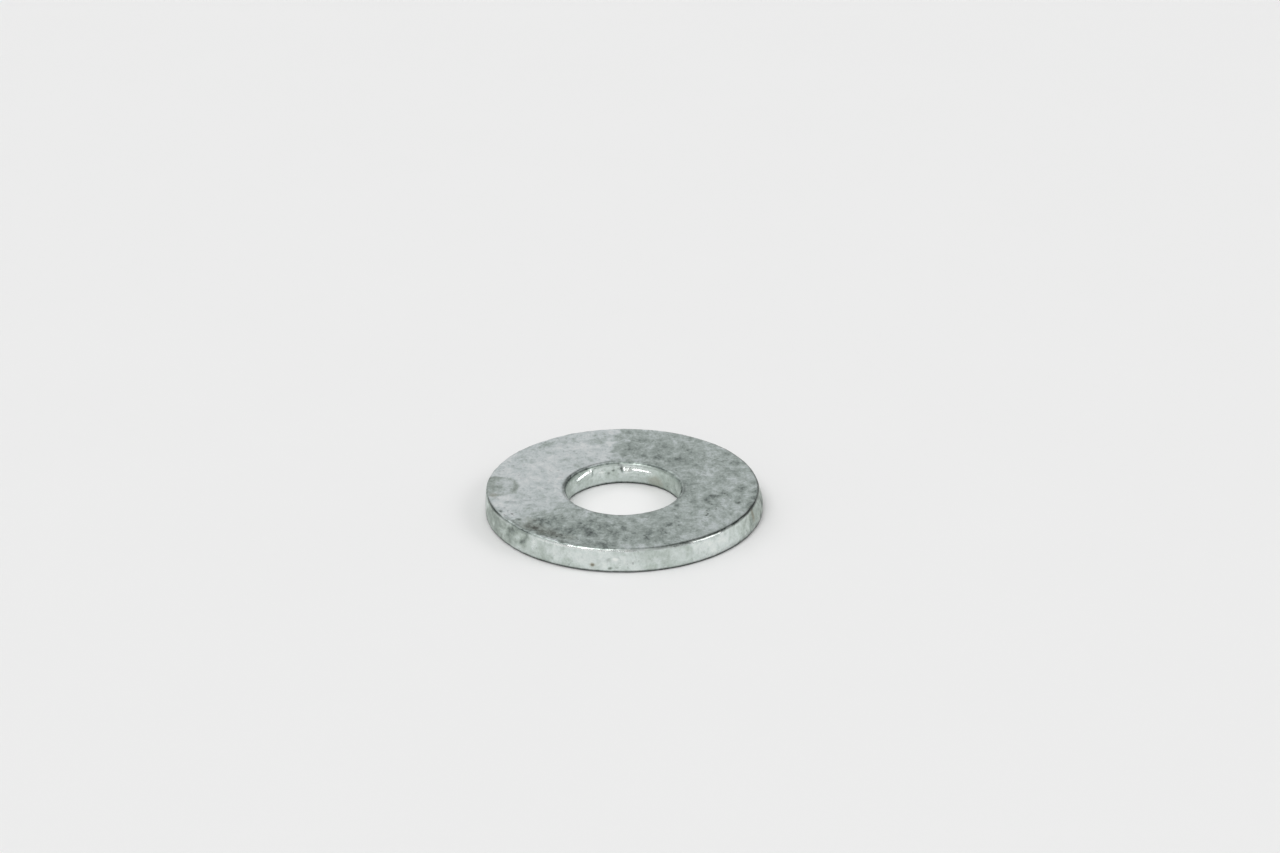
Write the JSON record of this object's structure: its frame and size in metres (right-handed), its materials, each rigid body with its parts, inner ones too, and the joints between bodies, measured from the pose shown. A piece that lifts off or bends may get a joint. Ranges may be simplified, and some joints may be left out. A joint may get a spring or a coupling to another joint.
{
  "type": "flat washer",
  "caption": "Plain round flat washer of galvanised steel: a punched disc with a central bolt hole that spreads a bolt head's or nut's load.",
  "frame": {"origin": "on the bore's axis, at the lower (seating) face", "axes": "+Z along the bore's axis, from the seating face towards the bearing face; +X and +Y are any two square directions across the disc"},
  "size_m": [0.0348, 0.0348, 0.003],
  "materials": {
    "galvanised_zinc": "dull hot-dip galvanised, clouded grey"
  },
  "bodies": {
    "root": {"flat_washer": "galvanised_zinc"}
  },
  "joints": []
}
